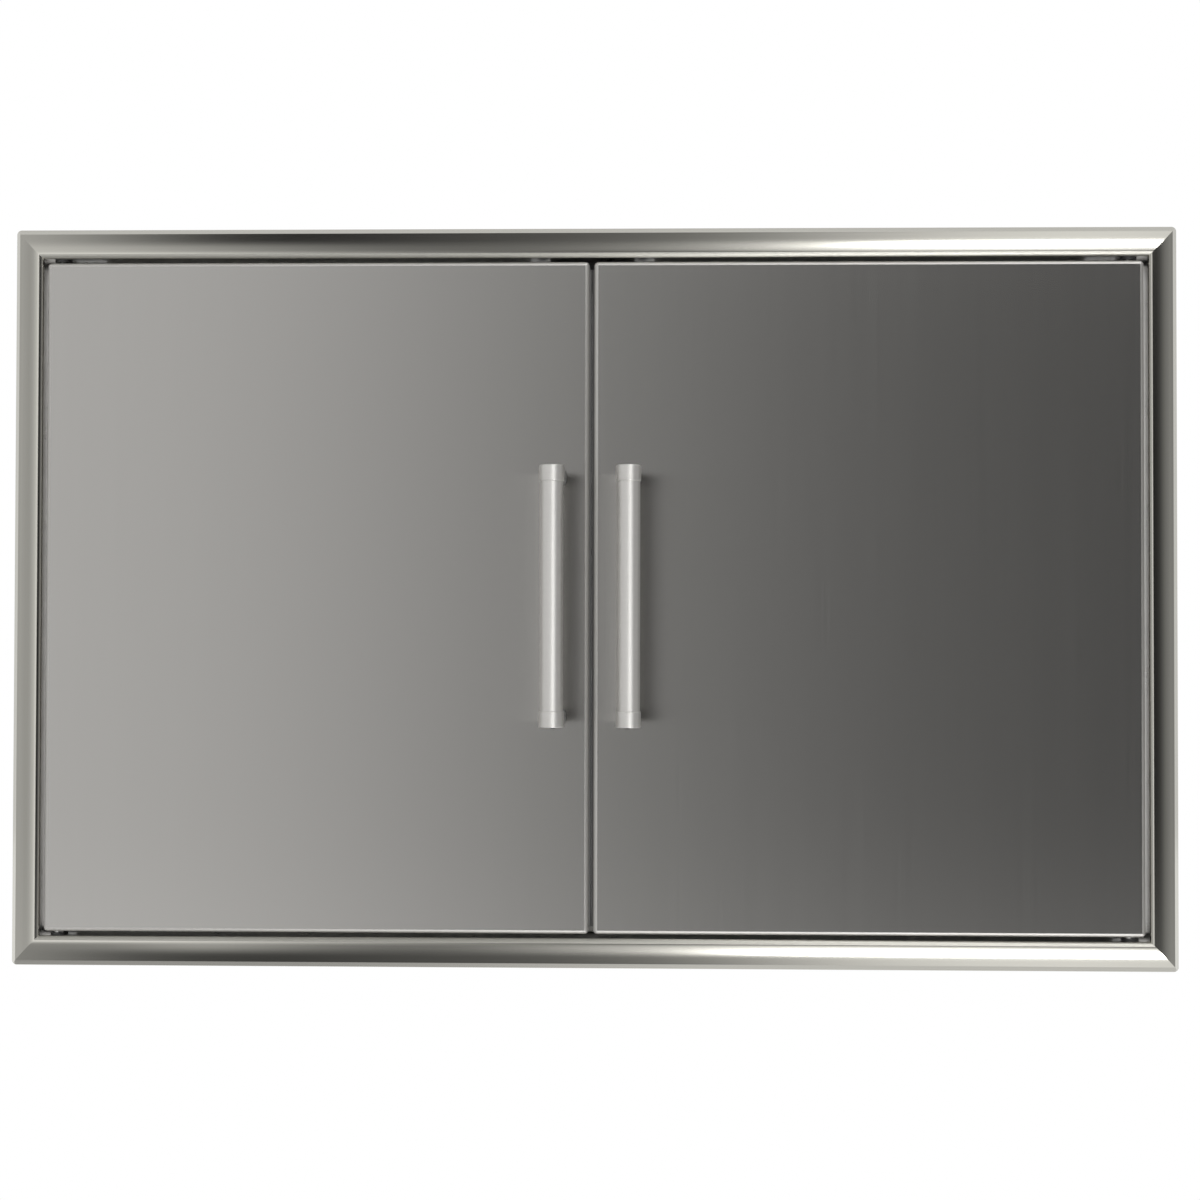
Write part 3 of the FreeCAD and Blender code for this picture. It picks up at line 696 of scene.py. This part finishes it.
@dataclass
class TrimFrame:
    """The four mitred rails round the doors, with the stops, bushings and catch that they carry."""

    width: float = 838 * MM
    height: float = 533 * MM
    face: float = 23 * MM
    proud: float = 13 * MM
    edge_proud: float = 2.6 * MM
    band: float = 4.4 * MM
    slope: float = math.radians(30)
    depth: float = 42 * MM
    thickness: float = 1.2 * MM
    front_return: float = 9 * MM
    back_return: float = 9 * MM
    back_hem: float = 8 * MM
    fold: float = 2 * MM
    edge: float = 1.6 * MM
    crease: float = 0.4 * MM
    crown: float = 24 * MM
    lip: float = 3 * MM
    corner: float = 3.5 * MM
    fixing_across: float = 500 * MM
    fixing_up: float = 320 * MM
    fixing_depth: float = 27 * MM
    fixing_hole: float = 5.5 * MM
    bushing_hole: float = 9.1 * MM
    lip_to: float = -10 * MM
    jamb_from: float = -9.5 * MM
    pad_r: float = 4.5 * MM
    pad_t: float = 1.7 * MM
    pad_edge: float = 0.5 * MM
    dimple: float = 0.25 * MM
    dimple_r: float = 2.25 * MM
    dimple_floor_r: float = 1.89 * MM
    strip_t: float = 1.5 * MM
    strip_hang: float = 2.8 * MM
    strip_air: float = 0.05 * MM

    def section(self) -> list[Point]:
        """The rail's section as (distance in from the outer edge, depth)."""
        top = self.face - self.lip - self.crown * math.tan(self.slope / 2)
        hem = self.face - self.back_return
        points = [
            (self.front_return, 0.0), (0.0, 0.0), (0.0, -self.edge_proud),
            (self.band, (top - self.band) * math.tan(self.slope) - self.proud), (top, -self.proud),
            (self.face, -self.proud), (self.face, self.depth), (hem, self.depth),
            (hem, self.depth - self.back_hem),
        ]
        radii = [self.fold, self.edge, self.crease, self.crown, self.lip, self.fold, self.fold]
        return FoldedSheet(points, radii, self.thickness).outline()

    def rail(self, name: str, length: float, edge: float, turn: float, finish: Finish,
             holes: Sequence[Hole]) -> Object:
        """One rail, mitred at both ends and bent round the frame's outer corners.

        Args:
            name: The solid's name.
            length: The rail's length along its outer edge.
            edge: From the frame's middle to that edge.
            turn: The angle about the depth axis from the bottom rail's place.
            finish: The rail's finish.
            holes: The holes in its jamb, in place.

        Returns:
            The rail.
        """
        outline = self.section()
        place = Matrix.Rotation(turn, 3, "Y")
        rings = []
        bend = [math.radians(45) * k / ROUND_STEPS for k in range(ROUND_STEPS + 1)]
        for side, angle in [(-1, a) for a in bend[::-1]] + [(1, a) for a in bend]:
            ring = []
            for u, v in outline:
                radius, middle = max(self.corner - u, 0.0), max(self.corner, u)
                x = side * (length / 2 - middle + radius * math.sin(angle))
                ring.append(place @ Vector((x, v, middle - radius * math.cos(angle) - edge)))
            rings.append(ring)
        lip = LIP_LEVEL if finish == TRIM_LEVEL else finish
        made = Piece(f"{name}_form").loft(rings).object(finish, JAMB_STEEL, lip)
        for face in made.data.polygons:
            middle = face.center
            if self.inward(middle) > self.face - self.lip:
                face.material_index = 1 if middle.y > self.jamb_from else 2 * (middle.y < self.lip_to)
        return Workshop.bored(made, holes)

    def inward(self, point: Vector) -> float:
        """How far a point lies in from the frame's outer edge."""
        return min(self.width / 2 - abs(point.x), self.height / 2 - abs(point.z))

    def jamb_holes(self, spacing: float, edge: float, turn: float) -> list[Hole]:
        """The two fixing holes in a rail's jamb."""
        place = Matrix.Rotation(turn, 3, "Y")
        top = self.face - edge - self.thickness
        return [Hole(place @ Vector((side * spacing / 2, self.fixing_depth, top)), place @ UP,
                     self.fixing_hole, self.thickness) for side in (-1, 1)]

    def bushing_holes(self, end: int) -> list[Hole]:
        """The two bushing holes in the top (end 1) or bottom (end -1) rail."""
        level = end * (self.height / 2 - self.face)
        return [Hole(Vector((side * PIVOT_X, PIVOT_Y, level)), UP * end, self.bushing_hole, self.thickness)
                for side in (-1, 1)]

    def build(self) -> None:
        """Make the rails and dress what they carry."""
        half_w, half_h = self.width / 2, self.height / 2
        for name, end, turn in (("trim_bottom_rail", -1, 0.0), ("trim_top_rail", 1, math.pi)):
            holes = self.jamb_holes(self.fixing_across, half_h, turn) + self.bushing_holes(end)
            made = self.rail(name, self.width, half_h, turn, TRIM_LEVEL, holes)
            Workshop.ride(made, "trim_frame", "trim_steel", name)
        for name, turn in (("trim_left_stile", math.pi / 2), ("trim_right_stile", -math.pi / 2)):
            holes = self.jamb_holes(self.fixing_up, half_w, turn)
            made = self.rail(name, self.height, half_w, turn, TRIM_UPRIGHT, holes)
            Workshop.ride(made, "trim_frame", "trim_steel", name)
        Workshop.dress(INNER_STEEL, "upper_stop_left", "upper_stop_right", "lower_stop")
        Workshop.dress(ACETAL, *(f"{end}_bushing_{hand.word}" for end in ("upper", "lower") for hand in Hand))
        Workshop.dress(CATCH_PLASTIC, "catch_housing")
        Workshop.dress(FERRITE, "catch_magnets")
        Workshop.dress(PLATED_STEEL, "catch_pole_plates", "catch_screws")
        self.bumpers()
        self.gap_shade_strips()

    def bumpers(self) -> None:
        """The four rubber pads on the stops, one pad repeated."""
        low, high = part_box("stop_bumpers")
        radius, thick, floor = self.pad_r, self.pad_t, self.pad_t - self.dimple
        profile = [(0.0, 0.0), (radius, 0.0)]
        profile += arc(radius - self.pad_edge, thick - self.pad_edge, self.pad_edge, 0, 90)
        profile += [(self.dimple_r, thick), (self.dimple_floor_r, floor), (0.0, floor)]
        pad = Piece("stop_bumper_pads").turned(profile, Vector(), -DEEP, 40).object(RUBBER)
        size = high - low
        made = Trees.grown(pad, Trees.grid(), {
            "Columns": 2, "Column Step": size.x - 2 * radius, "Rows": 2, "Row Step": size.z - 2 * radius,
            "Material": RUBBER.material()}, Vector((0, high.y, (low.z + high.z) / 2)))
        Workshop.ride(made, "trim_frame", "rubber", "stop_bumpers")

    def gap_shade_strips(self) -> None:
        """Thin black rubber on the jambs, which closes the gap past the ends of each stop and beside the
        catch: a dark piece that stands in for the shade of the space behind the doors, painted shade.
        """
        catch, side_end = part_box("catch_housing")[1].x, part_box("trim_right_stile")[0].x
        profile = [(0.0, 0.0), (self.strip_t, 0.0), (self.strip_t, self.strip_hang), (0.0, self.strip_hang)]
        work = Piece("gap_shade_strips")
        for stop, end in (("upper_stop_right", 1), ("lower_stop", -1)):
            low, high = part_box(stop)
            seat = (high.z if end > 0 else -low.z) - self.strip_air
            for near, far in [(high.x, side_end), (catch, low.x)][:1 + (end > 0)]:
                for side in (-1, 1):
                    work.loft([[Vector((side * x, low.y + y, end * (seat - z))) for y, z in profile]
                               for x in (near + self.strip_air, far - self.strip_air)])
        Workshop.ride(work.object(RUBBER), "trim_frame", "rubber")


@dataclass
class Pan:
    """A shallow tray with a flat face and rounded folds."""

    low: Vector
    high: Vector
    face: float
    depth: float
    radius: float
    thickness: float

    def _ring(self, inset: float, y: float) -> list[Vector]:
        """One rounded rectangle.

        Args:
            inset: How far it lies in from the pan's outline.
            y: Its depth.

        Returns:
            Its points, corner by corner.
        """
        radius, middle = max(self.radius - inset, 0.0), max(self.radius, inset)
        ring = []
        for sx, sz, start in ((1, 1, 0), (-1, 1, 90), (-1, -1, 180), (1, -1, 270)):
            cx = self.high.x - middle if sx > 0 else self.low.x + middle
            cz = self.high.z - middle if sz > 0 else self.low.z + middle
            ring += [Vector((x, y, z)) for x, z in arc(cx, cz, radius, start, start + 90, 8)]
        return ring

    def mesh(self, name: str, *finishes: Finish) -> Object:
        """The pan as a closed sheet.

        Args:
            name: The object's name.
            finishes: Its finishes, the first one on all its faces.

        Returns:
            The pan.
        """
        r, wall, side, back = self.radius, self.thickness, self.radius + NEAR, abs(self.depth)
        steps = [(side, 0.0), *arc(r, r, r, -90, -180, 10), (0.0, side), (0.0, back)]
        steps += [(wall, back), (wall, side), *arc(r, r, r - wall, -180, -90, 10), (side, wall)]
        rings = [self._ring(inset, self.face + math.copysign(y, self.depth)) for inset, y in steps]
        return Piece(name).loft(rings).object(*finishes)


@dataclass
class Door:
    """One door: skin, liner, handle, and the pivots and spring inside."""

    hand: Hand
    front_y: float = -13 * MM
    back_y: float = 6 * MM
    half_h: float = 240.3 * MM
    skin: float = 1.2 * MM
    skin_fold: float = 3 * MM
    pin_hole: float = 7 * MM
    liner: float = 1 * MM
    liner_fold: float = 2 * MM
    slot: float = 4.5 * MM
    slot_top: float = 235.1 * MM
    slot_bottom: float = 226.7 * MM
    spring_foot: float = 210.6 * MM
    spring_keep: float = 0.618
    spring_turns: float = 7.0
    coil_radius: float = 4.3 * MM
    wire_radius: float = 0.4 * MM

    def spot(self, x: float, y: float, z: float) -> Vector:
        """A left door's point, in this door's place."""
        return Vector((self.hand.side * x, y, z))

    def pivot(self, z: float) -> Vector:
        """A point of this door's pivot."""
        return self.spot(-PIVOT_X, PIVOT_Y, z)

    def node(self, piece: str) -> str:
        """The name of this door's solid."""
        return f"{self.hand.word}_{piece}"

    def ride(self, piece: Object, slot: str, *nodes: str) -> None:
        """Put a piece on this door."""
        Workshop.ride(piece, self.hand.body, slot, *(self.node(n) for n in nodes))

    def make_skin(self) -> None:
        """The outer pan with its pin and screw holes."""
        low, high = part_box(self.node("door_skin"))
        pan = Pan(low, high, self.front_y, self.back_y - self.front_y, self.skin_fold, self.skin)
        made = pan.mesh(self.node("skin_form"), DOOR_FACE, DOOR_EDGE)
        for face in made.data.polygons:
            face.material_index = int(abs(face.normal.y) < FLAT_NORMAL)
        handle = Handle(self)
        holes = [Hole(self.pivot(end * (self.half_h - self.skin)), UP * end, self.pin_hole, self.skin)
                 for end in (-1, 1)]
        holes += [Hole(self.spot(handle.x, self.front_y, end * handle.post_z), DEEP, handle.screw_hole,
                       self.skin) for end in (-1, 1)]
        self.ride(Workshop.bored(made, holes), "door_steel", "door_skin")

    def make_liner(self) -> None:
        """The inner pan with its slot for the thumb stud."""
        low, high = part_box(self.node("door_liner"))
        pan = Pan(low, high, self.back_y, low.y - high.y, self.liner_fold, self.liner)
        made = pan.mesh(self.node("liner_form"), INNER_STEEL)
        start = self.spot(-PIVOT_X, self.back_y - self.liner, self.slot_bottom)
        slot = Hole(start, DEEP, self.slot, self.liner, stretch=UP * (self.slot_top - self.slot_bottom))
        self.ride(Workshop.bored(made, [slot]), "inner_steel", "door_liner")

    def make_spring(self) -> None:
        """The pin's spring, wound by its tree."""
        low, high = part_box(self.node("pin_spring"))
        name = self.node("coil_spring")
        seed = linked(name, bpy.data.meshes.new(name))
        wire = self.wire_radius
        made = Trees.grown(seed, Trees.coil(), {
            "Turns": self.spring_turns, "Coil Radius": self.coil_radius, "Wire Radius": wire,
            "Height": high.z - low.z - 2 * wire, "Foot": self.pivot(low.z + wire),
            "Material": SPRING_STEEL.material()})
        self.ride(made, "spring_steel", "pin_spring")
        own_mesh(made)

    def build(self) -> None:
        """Make the door's pieces and dress its solids."""
        self.make_skin()
        self.make_liner()
        Handle(self).build()
        self.make_spring()
        for finish, *pieces in (
            (SEAL_RUBBER, "meeting_seal"),
            (INNER_STEEL, "handle_stiffener"),
            (HINGE_STEEL, "upper_hinge_bracket", "lower_hinge_block"),
            (PIN_STEEL, "lower_pivot_pin", "upper_pivot_pin", "pin_thumb_stud", "thrust_washer"),
            (PLATED_STEEL, "handle_screws", "strike_plate", "strike_rivets"),
        ):
            Workshop.dress(finish, *(self.node(piece) for piece in pieces))


@dataclass
class Handle:
    """A door's bar on its two posts, each a ferrule, a neck and a flared foot."""

    door: Door
    x: float = -26.6 * MM
    bar_y: float = -47 * MM
    post_z: float = 85 * MM
    bar_r: float = 8 * MM
    bar_wall: float = 1.5 * MM
    bar_half: float = 87.5 * MM
    ferrule_r: float = 8.7 * MM
    socket_r: float = 8.05 * MM
    ferrule_low: float = 79.5 * MM
    ferrule_high: float = 90.5 * MM
    socket_floor: float = 87.55 * MM
    ferrule_edge: float = 0.6 * MM
    neck_r: float = 6 * MM
    neck_end_r: float = 4.9 * MM
    sweep: float = 1.0 * MM
    foot_r: float = 9 * MM
    foot_t: float = 4 * MM
    foot_edge: float = 1.6 * MM
    screw_hole: float = 5.2 * MM
    screw_r: float = 2.6 * MM
    screw_grip: float = 9 * MM
    sides: int = 96

    def build(self) -> None:
        """Make the bar and its posts."""
        self.bar()
        for word, end in (("upper", 1), ("lower", -1)):
            self.door.ride(self.post(f"{word}_post_form", end), "handle_steel", f"handle_{word}_post")

    def bar(self) -> None:
        """The tube."""
        centre = self.door.spot(self.x, self.bar_y, 0.0)
        inner, half = self.bar_r - self.bar_wall, self.bar_half
        tube = [(self.bar_r, -half), (self.bar_r, half), (inner, half), (inner, -half)]
        work = Piece(self.door.node("bar_form"))
        work.turned(tube, centre, UP, self.sides, caps=False)
        self.door.ride(work.object(HANDLE_STEEL), "handle_steel", "handle_bar")

    def post(self, name: str, end: int) -> Object:
        """One post, its ferrule in the bar's finish and its neck and foot in darkened steel that paints the
        shade beside the post.

        Args:
            name: The piece's name after its hand.
            end: 1 for the upper post and -1 for the lower one.

        Returns:
            The post.
        """
        work = Piece(self.door.node(name))
        bar = self.door.spot(self.x, self.bar_y, 0.0)
        work.turned(self.ferrule(), bar, UP * end, self.sides)
        work.turned(self.neck(), bar + UP * end * self.post_z, DEEP, self.sides)
        made = work.object(POST_STEEL, HANDLE_STEEL)
        for face in made.data.polygons:
            # Faces behind the ferrule take the darkened steel, painted shade; the ferrule takes the bar's
            # lightened steel, painted light.
            face.material_index = int(face.center.y < self.bar_y + self.ferrule_r + NEAR)
        return made

    def ferrule(self) -> list[Point]:
        """The ferrule's profile, as (radius, place along the bar)."""
        r, edge, low, high = self.ferrule_r, self.ferrule_edge, self.ferrule_low, self.ferrule_high
        profile = [(0.0, self.socket_floor), (self.socket_r, self.socket_floor), (self.socket_r, low)]
        profile += arc(r - edge, low + edge, edge, -90, 0) + arc(r - edge, high - edge, edge, 0, 90)
        return profile + [(r - edge - NEAR, high), (0.0, high)]

    def neck(self) -> list[Point]:
        """The profile of the neck and foot, as (radius, depth behind the bar's axis).

        The neck narrows towards the ferrule, so that it doesn't stand over the ferrule's cap.
        """
        back = self.door.front_y - self.bar_y
        face = back - self.foot_t
        profile = [(0.0, 0.0), (self.neck_end_r, 0.0), (self.neck_end_r, self.ferrule_r)]
        profile += [(self.neck_r, face - self.sweep - NEAR)]
        profile += arc(self.neck_r + self.sweep, face - self.sweep, self.sweep, 180, 90)
        flat, brim = self.foot_r - self.foot_edge, face + self.foot_edge
        profile += [(flat, face), (flat + NEAR, face + NEAR), (self.foot_r - NEAR, brim - NEAR)]
        profile += [(self.foot_r, brim), (self.foot_r, back), (self.screw_r, back)]
        return profile + [(self.screw_r, back - self.screw_grip), (0.0, back - self.screw_grip)]


# Stage, light and camera

# How bright the light is from far left, at -1, to far right, at 1. Each row is one height: level with the
# doors, above and below them, and straight up and down.
BRIGHTEST = 4.0
WHITE, CREAM = (1.0, 1.0, 1.0, 1.0), (1.0, 0.995, 0.985, 1.0)
LEVEL = [(-1.0, 0.48), (-0.78, 0.45), (-0.64, 0.55), (-0.47, 0.77), (-0.34, 1.18), (-0.21, 0.68),
         (-0.07, 0.19), (0.0, 0.04), (0.10, 0.01), (0.30, 0.01), (0.70, 0.08), (1.0, 0.28)]
ABOVE = [(-1.0, 0.90), (-0.45, 0.85), (-0.34, 0.72), (-0.26, 0.39), (-0.12, 0.16), (0.04, 0.34),
         (0.10, 0.85), (0.15, 1.40), (0.24, 1.50), (0.34, 1.20), (0.44, 0.50), (1.0, 0.15)]
OVERHEAD = [(-1.0, 0.90), (-0.45, 0.80), (-0.34, 0.45), (-0.27, 0.06), (-0.15, 0.05), (0.04, 0.19),
            (0.10, 0.42), (0.20, 0.85), (0.31, 1.00), (0.45, 0.50), (1.0, 0.20)]
BELOW = [(-1.0, 0.80), (-0.45, 0.50), (-0.34, 0.28), (-0.31, 0.30), (-0.27, 0.62), (-0.23, 0.34),
         (-0.10, 0.18), (0.03, 0.80), (0.08, 1.45), (0.24, 1.50), (0.34, 1.20), (0.44, 0.50), (1.0, 0.15)]
UNDERFOOT = [(-1.0, 0.80), (-0.45, 0.60), (-0.34, 0.27), (-0.32, 0.09), (-0.18, 0.07), (0.04, 0.24),
             (0.15, 0.80), (0.31, 1.00), (0.45, 0.50), (1.0, 0.20)]


@dataclass
class Studio:
    """The floor, the soft light all round and the camera."""

    floor_z: float = -0.62
    floor_half: float = 3.0
    floor_from: float = 0.2
    level_glow: float = 0.10
    glow_below: Point = (0.12, 0.27)
    off_level: Point = (0.25, 0.40)
    overhead: Point = (0.53, 0.93)
    underfoot: Point = (0.50, 0.93)
    panel: float = 10.0
    panel_slant: float = 0.06
    panel_left: Point = (0.10, 0.18)
    panel_right: Point = (0.31, 0.39)
    panel_near: Point = (0.48, 0.56)
    panel_far: Point = (0.74, 0.82)
    sky: float = 0.75
    sky_loss: float = 0.45
    sky_low: Point = (0.0, 0.5)
    sky_left: Point = (-0.25, 0.1)
    sky_end: Point = (0.15, 0.85)
    behind: float = 0.07
    front: Point = (-0.35, 0.25)
    white_from: Point = (0.25, 0.65)
    camera_place: tuple[float, float, float] = (0.0280, -1.1, -0.0177)
    azimuth: float = 1.1463
    elevation: float = -0.818
    roll: float = 0.1097
    lens: float = 45.73

    def floor(self) -> None:
        """A pale floor, well below the doors and open in front of them, where the light comes from."""
        far = 2 * self.floor_half
        work = Piece("floor")
        work.work.faces.new([work.work.verts.new((side * self.floor_half, y, self.floor_z)) for side, y in (
            (-1, self.floor_from), (1, self.floor_from), (1, far), (-1, far))])
        work.object(PaleFloor("pale_floor", (0.8, 0.8, 0.8), 0.8))

    def world(self) -> None:
        """Soft light by direction, white behind the doors for the camera and in reflections."""
        world = bpy.data.worlds.new("soft_studio")
        bpy.context.scene.world = world
        world.use_nodes = True
        nodes = Nodes(world.node_tree)
        way = nodes.value("ShaderNodeTexCoord", "Generated")
        parts = nodes.make("ShaderNodeSeparateXYZ", {0: way})
        x, y, z = (Value(nodes, s) for s in parts.outputs)
        flat = (x * x + y * y + 1e-6).root()
        front = (-y / flat).rise(*self.front)
        light = self.room(nodes, x, z, x / flat) * front + self.back(x, y, z) * (1.0 - front)
        eye, mirrored = self.rays(nodes)
        shade = nodes.make("ShaderNodeBackground", {"Color": CREAM, "Strength": light})
        white = nodes.make("ShaderNodeBackground", {"Color": WHITE, "Strength": 1.0})
        nodes.either("ShaderNodeOutputWorld", eye + mirrored * y.rise(*self.white_from), shade, white)

    def room(self, nodes: Nodes, x: Value, z: Value, right: Value) -> Value:
        """The light in front: pale on the left, deep on the right, with bright panels above and below.

        Args:
            nodes: The world's tree.
            x: The direction's part to the right.
            z: Its part upwards.
            right: Its part to the right, were it level.

        Returns:
            The light's strength.
        """
        level = self.ramp(nodes, right, LEVEL) + (-z).rise(*self.glow_below) * self.level_glow
        top, under = z.rise(*self.overhead), (-z).rise(*self.underfoot)
        over = self.ramp(nodes, x, ABOVE) * (1.0 - top) + self.ramp(nodes, x, OVERHEAD) * top
        below = self.ramp(nodes, x, BELOW) * (1.0 - under) + self.ramp(nodes, x, UNDERFOOT) * under
        up, down = z.rise(*self.off_level), (-z).rise(*self.off_level)
        steep, start = z.size(), x - z * self.panel_slant
        panel = start.rise(*self.panel_left) * (1.0 - x.rise(*self.panel_right))
        panel = panel * steep.rise(*self.panel_near) * (1.0 - steep.rise(*self.panel_far))
        return level * (1.0 - up - down) + over * up + below * down + panel * self.panel

    def back(self, x: Value, y: Value, z: Value) -> Value:
        """The light behind and beside the doors, lower from below on the left."""
        sky = self.sky - self.sky_loss * (-z).rise(*self.sky_low) * (1.0 - x.rise(*self.sky_left))
        return self.behind + sky * (1.0 - y.rise(*self.sky_end))

    @staticmethod
    def rays(nodes: Nodes) -> tuple[Value, Value]:
        """Whether a ray comes from the camera, and whether it comes off metal or through glass."""
        ray = nodes.make("ShaderNodeLightPath")
        eye, glossy, through = (Value(nodes, ray.outputs[f"Is {kind} Ray"])
                                for kind in ("Camera", "Glossy", "Transmission"))
        return eye, glossy + through * (1.0 - glossy)

    @staticmethod
    def ramp(nodes: Nodes, right: Value, levels: Sequence[Point]) -> Value:
        """The light's level from left to right.

        Args:
            nodes: The world's tree.
            right: From -1 at the far left to 1 at the far right.
            levels: Levels at places along it.

        Returns:
            The level.
        """
        stops = [((place + 1) / 2, level / BRIGHTEST) for place, level in levels]
        made = nodes.make("ShaderNodeValToRGB", {0: (right + 1.0) * 0.5}, stops=stops)
        return nodes.value("ShaderNodeSeparateColor", 0, {0: made}) * BRIGHTEST

    def camera(self) -> None:
        """The camera at the photograph's place and angle."""
        data = bpy.data.cameras.new("camera")
        data.lens = self.lens
        data.sensor_width = 36.0
        data.clip_start = 0.02
        made = linked("camera", data)
        place = Matrix.Translation(self.camera_place)
        for angle, axis in ((self.azimuth, "Z"), (90.0 - self.elevation, "X"), (self.roll, "Z")):
            place @= Matrix.Rotation(math.radians(angle), 4, axis)
        made.matrix_world = place
        bpy.context.scene.camera = made

    def build(self) -> None:
        """Set the stage."""
        self.floor()
        self.world()
        self.camera()
        bpy.context.scene.view_settings.view_transform = "Standard"


@dataclass(frozen=True)
class PaleFloor(Finish):
    """A matt pale floor that the camera, metal and glass see as white."""

    def paint(self, nodes: Nodes) -> None:
        """Matt for light that falls on it, and white for the camera and in reflections."""
        matt = nodes.make("ShaderNodeBsdfDiffuse", {"Color": self.colour + (1.0,)})
        white = nodes.make("ShaderNodeEmission", {"Color": WHITE, "Strength": 1.0})
        eye, mirrored = Studio.rays(nodes)
        nodes.either("ShaderNodeOutputMaterial", eye + mirrored, matt, white)


def main() -> None:
    """Build the scene, piece by piece, and note its size."""
    logging.basicConfig(level=logging.INFO, format="%(name)s %(message)s")
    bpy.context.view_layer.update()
    TrimFrame().build()
    for hand in Hand:
        Door(hand).build()
    Studio().build()


if __name__ == "__main__":
    main()
